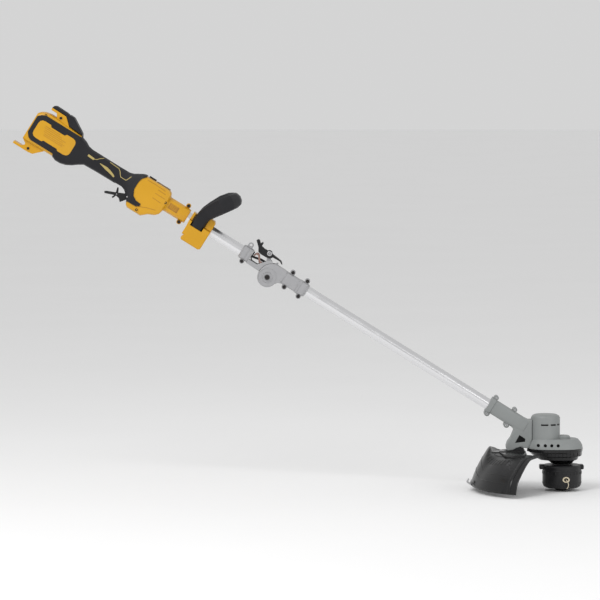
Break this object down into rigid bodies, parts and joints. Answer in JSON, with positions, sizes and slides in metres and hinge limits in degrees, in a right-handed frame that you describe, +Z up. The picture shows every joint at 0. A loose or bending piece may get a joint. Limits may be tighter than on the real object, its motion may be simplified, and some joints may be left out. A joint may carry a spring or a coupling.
{
  "type": "string trimmer",
  "caption": "Folding cordless string trimmer with rear grip, sliding loop handle, hinged two-piece shaft, geared bump-feed line head and guard",
  "frame": {"origin": "point where the bump knob meets the ground, on the spool's axis", "axes": "+Z up along the spool's axis, +X towards the front of the head, the shaft rising towards -X at 32 degrees, +Y to the tool's left"},
  "size_m": [1.4251, 0.3179, 0.9622],
  "materials": {
    "yellow": "fine-textured moulded plastic",
    "black": "matt moulded plastic and soft overmould",
    "cast": "painted die casting",
    "alu": "bright drawn tube",
    "grey": "moulded plastic",
    "steel": "plain steel",
    "copper": "copper and windings",
    "cable": "cable sleeve",
    "cream": "nylon line and eyelet"
  },
  "bodies": {
    "root": {"rear_housing_near": "yellow", "rear_housing_far": "yellow", "grip_overmould_near": "black", "grip_overmould_far": "black", "label_plate_near": "yellow", "label_plate_far": "yellow", "top_bumper": "black", "battery_terminal_block": "black", "battery_contact_near": "copper", "battery_contact_far": "copper", "control_module": "black", "trigger_switch": "black", "trigger_pin": "steel", "upper_tube": "alu", "upper_harness": "cable", "upper_casting_near": "cast", "upper_casting_far": "cast", "upper_casting_screw": "black", "hinge_bolt": "black", "hinge_nut": "steel", "latch_pin": "steel", "latch_spring": "steel"},
    "trigger_body": {"trigger": "black", "lock_off_pin": "steel"},
    "lock_off_body": {"lock_off_lever": "black"},
    "speed_body": {"speed_slider": "black"},
    "front_handle": {"handle_bracket": "yellow", "handle_cap": "yellow", "handle_grip": "black", "handle_bolt_near": "steel", "handle_bolt_far": "steel"},
    "latch_body": {"latch_lever": "black"},
    "lower_shaft": {"lower_casting_near": "cast", "lower_casting_far": "cast", "lower_casting_screw_1": "black", "lower_casting_screw_2": "black", "lower_casting_screw_3": "black", "lower_casting_screw_4": "black", "lower_tube": "alu", "lower_harness": "cable", "head_housing_near": "grey", "head_housing_far": "grey", "base_cover": "black", "motor_stator": "steel", "motor_bearing": "steel", "spindle_bearing": "steel", "guard": "black", "cutoff_blade": "steel"},
    "motor_body": {"motor_rotor": "copper"},
    "spool_head": {"spindle": "steel", "drive_gear": "steel", "spool_housing": "black", "spool_cup": "black", "eyelet_near": "cream", "eyelet_far": "cream", "trimmer_line_near": "cream", "trimmer_line_far": "cream", "knob_spring": "steel"},
    "knob_body": {"bump_knob": "black", "line_spool": "black"}
  },
  "joints": [
    {"name": "shaft_fold", "type": "hinge", "parent": "root", "child": "lower_shaft", "pos_m": [-0.73905, 0, 0.5355], "axis": [0, 1, 0], "range_deg": [0, 160]},
    {"name": "latch_press", "type": "hinge", "parent": "root", "child": "latch_body", "pos_m": [-0.73302, 0, 0.59423], "axis": [0, -1, 0], "range_deg": [0, 12], "stiffness_Nm_per_rad": 0.6, "springref_deg": -11.46},
    {"name": "trigger_pull", "type": "hinge", "parent": "root", "child": "trigger_body", "pos_m": [-1.08739, 0, 0.73666], "axis": [0, 1, 0], "range_deg": [0, 8], "stiffness_Nm_per_rad": 0.6, "springref_deg": -11.46},
    {"name": "lock_off_press", "type": "hinge", "parent": "trigger_body", "child": "lock_off_body", "pos_m": [-1.11421, 0, 0.7428], "axis": [0, -1, 0], "range_deg": [0, 12], "stiffness_Nm_per_rad": 0.05, "springref_deg": -11.46},
    {"name": "speed_select", "type": "slide", "parent": "root", "child": "speed_body", "axis": [0.848, 0, -0.5299], "range_m": [0, 0.008]},
    {"name": "handle_slide", "type": "slide", "parent": "root", "child": "front_handle", "axis": [0.848, 0, -0.5299], "range_m": [0, 0.07]},
    {"name": "spool_spin", "type": "hinge", "parent": "lower_shaft", "child": "spool_head", "pos_m": [0, 0, 0], "axis": [0, 0, 1], "continuous": true},
    {"name": "motor_spin", "type": "hinge", "parent": "lower_shaft", "child": "motor_body", "pos_m": [-0.042, 0, 0], "axis": [0, 0, 1], "continuous": true},
    {"name": "knob_bump", "type": "slide", "parent": "spool_head", "child": "knob_body", "axis": [0, 0, 1], "range_m": [0, 0.005], "stiffness_N_per_m": 1200, "springref_m": -0.004, "deforming": ["knob_spring"]}
  ],
  "couplings": [
    {"joint": "motor_spin", "follows": "spool_spin", "ratio": -4}
  ]
}
